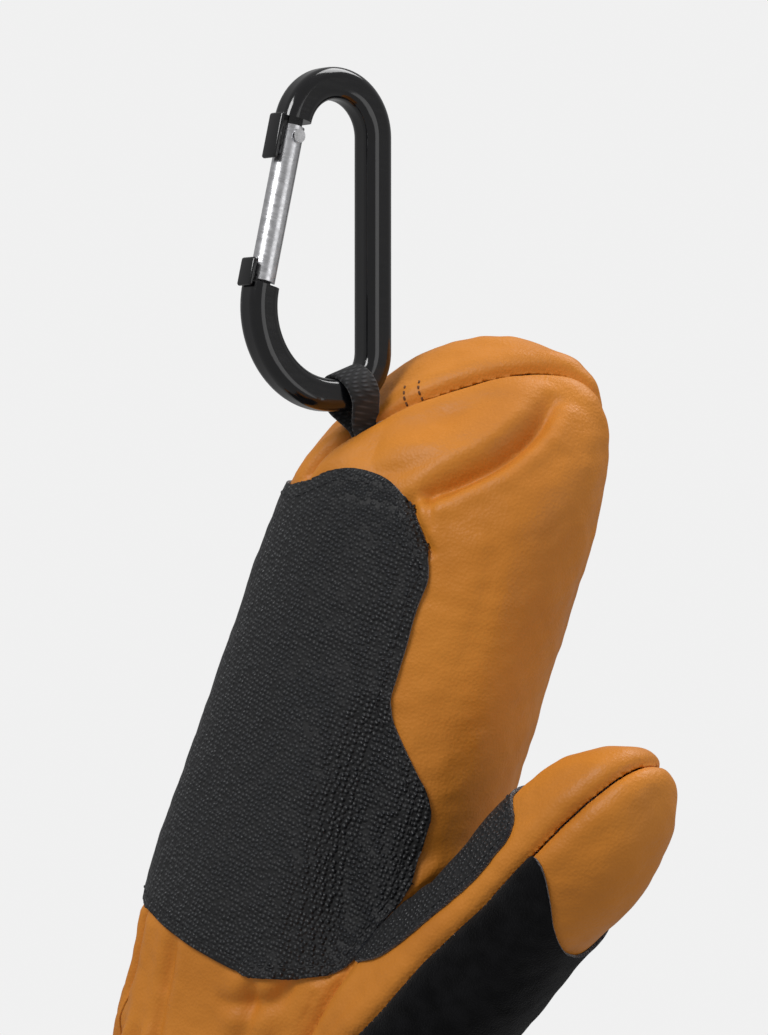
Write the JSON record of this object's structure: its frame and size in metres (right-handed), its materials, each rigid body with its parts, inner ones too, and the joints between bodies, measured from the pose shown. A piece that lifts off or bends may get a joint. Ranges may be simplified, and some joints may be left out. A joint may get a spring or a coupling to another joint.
{
  "type": "ski mitten",
  "caption": "Padded leather ski mitten for the right hand with a grip palm, folding thumb, wrist strap and a fingertip webbing loop holding a gated carabiner.",
  "frame": {"origin": "centre of the cuff's open end, in the plane of its rim", "axes": "+Z from the cuff to the fingertips, +X to the thumb side, -Y out of the palm"},
  "size_m": [0.1945, 0.1049, 0.3623],
  "materials": {
    "tan_leather": "soft grain, semi-gloss",
    "embossed_leather": "pebbled, matte",
    "suede": "suede nap",
    "insulation": "fibre wadding",
    "membrane": "thin film",
    "lining": "brushed pile",
    "elastic": "gathered elastic",
    "binding": "woven tape",
    "webbing": "woven webbing",
    "hook": "moulded hooks",
    "loop_pile": "looped pile",
    "black_alloy": "gloss black anodised",
    "bare_alloy": "satin brushed",
    "rivet_steel": "brushed",
    "spring_steel": "drawn wire",
    "plunger_brass": "turned"
  },
  "bodies": {
    "hand": {"palm_panel": "tan_leather", "back_panel": "tan_leather", "palm_patch": "embossed_leather", "hand_insulation": "insulation", "hand_membrane": "membrane", "hand_lining": "lining", "wrist_elastic": "elastic", "cuff_panel": "tan_leather", "cuff_binding": "binding", "wrist_strap": "webbing", "strap_loop_pad": "loop_pile"},
    "thumb": {"thumb_inner_panel": "tan_leather", "thumb_outer_panel": "tan_leather", "thumb_grip_patch": "embossed_leather", "thumb_suede_patch": "suede", "thumb_insulation": "insulation", "thumb_membrane": "membrane", "thumb_lining": "lining"},
    "strap": {"strap_tab": "embossed_leather", "strap_hook_pad": "hook"},
    "loop": {"hang_loop": "webbing"},
    "clip": {"carabiner_body": "black_alloy", "gate_rivet": "rivet_steel"},
    "gate": {"gate_sleeve": "bare_alloy", "gate_spring": "spring_steel"},
    "plunger": {"spring_plunger": "plunger_brass"}
  },
  "joints": [
    {"name": "thumb_fold", "type": "hinge", "parent": "hand", "child": "thumb", "pos_m": [0.037, -0.044, 0.1115], "axis": [-0.1935, 0, -0.9811], "range_deg": [0, 35]},
    {"name": "strap_peel", "type": "hinge", "parent": "hand", "child": "strap", "pos_m": [-0.01, 0.0395, 0.058], "axis": [0, 0, 1], "range_deg": [0, 80]},
    {"name": "loop_fold", "type": "hinge", "parent": "hand", "child": "loop", "pos_m": [-0.0259, -0.0164, 0.2668], "axis": [0.1154, 0.8856, 0.4499], "range_deg": [-10, 20]},
    {"name": "clip_swing", "type": "hinge", "parent": "loop", "child": "clip", "pos_m": [-0.03227, -0.0194, 0.27434], "axis": [0.1154, 0.8856, 0.4499], "range_deg": [-35, 35]},
    {"name": "gate_open", "type": "hinge", "parent": "clip", "child": "gate", "pos_m": [-0.06455, -0.04359, 0.33955], "axis": [0.8965, -0.2879, 0.3367], "range_deg": [0, 26], "stiffness_Nm_per_rad": 0.02, "springref_deg": -17.19},
    {"name": "plunger_slide", "type": "slide", "parent": "gate", "child": "plunger", "axis": [0.2926, -0.1858, -0.938], "range_m": [0, 0.00125]}
  ],
  "couplings": [
    {"joint": "plunger_slide", "follows": "gate_open", "m_per_rad": 0.0025}
  ]
}
